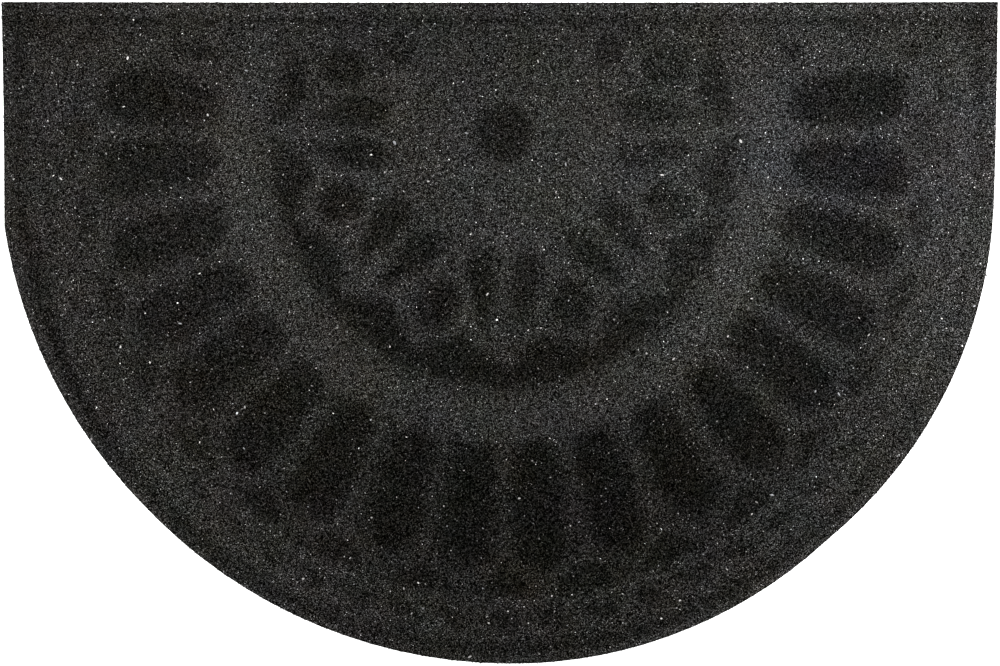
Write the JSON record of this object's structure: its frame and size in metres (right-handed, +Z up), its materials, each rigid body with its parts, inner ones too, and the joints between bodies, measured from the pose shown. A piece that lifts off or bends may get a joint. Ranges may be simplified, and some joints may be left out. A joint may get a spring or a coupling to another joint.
{
  "type": "half-round crumb rubber doormat",
  "caption": "Half-round doormat pressed from black recycled rubber crumb, with a half medallion of shallow hollows; lies flat in front of a door.",
  "frame": {"origin": "on the floor, in the middle of the mat's bounding rectangle", "axes": "+X along the straight edge, +Y towards the straight edge and away from the round edge, +Z up through the patterned face"},
  "size_m": [0.9144, 0.6072, 0.007],
  "materials": {
    "crumb_rubber": "dull black pressed rubber crumb, slightly warm, with small light flecks"
  },
  "bodies": {
    "root": {"mat": "crumb_rubber"}
  },
  "joints": []
}
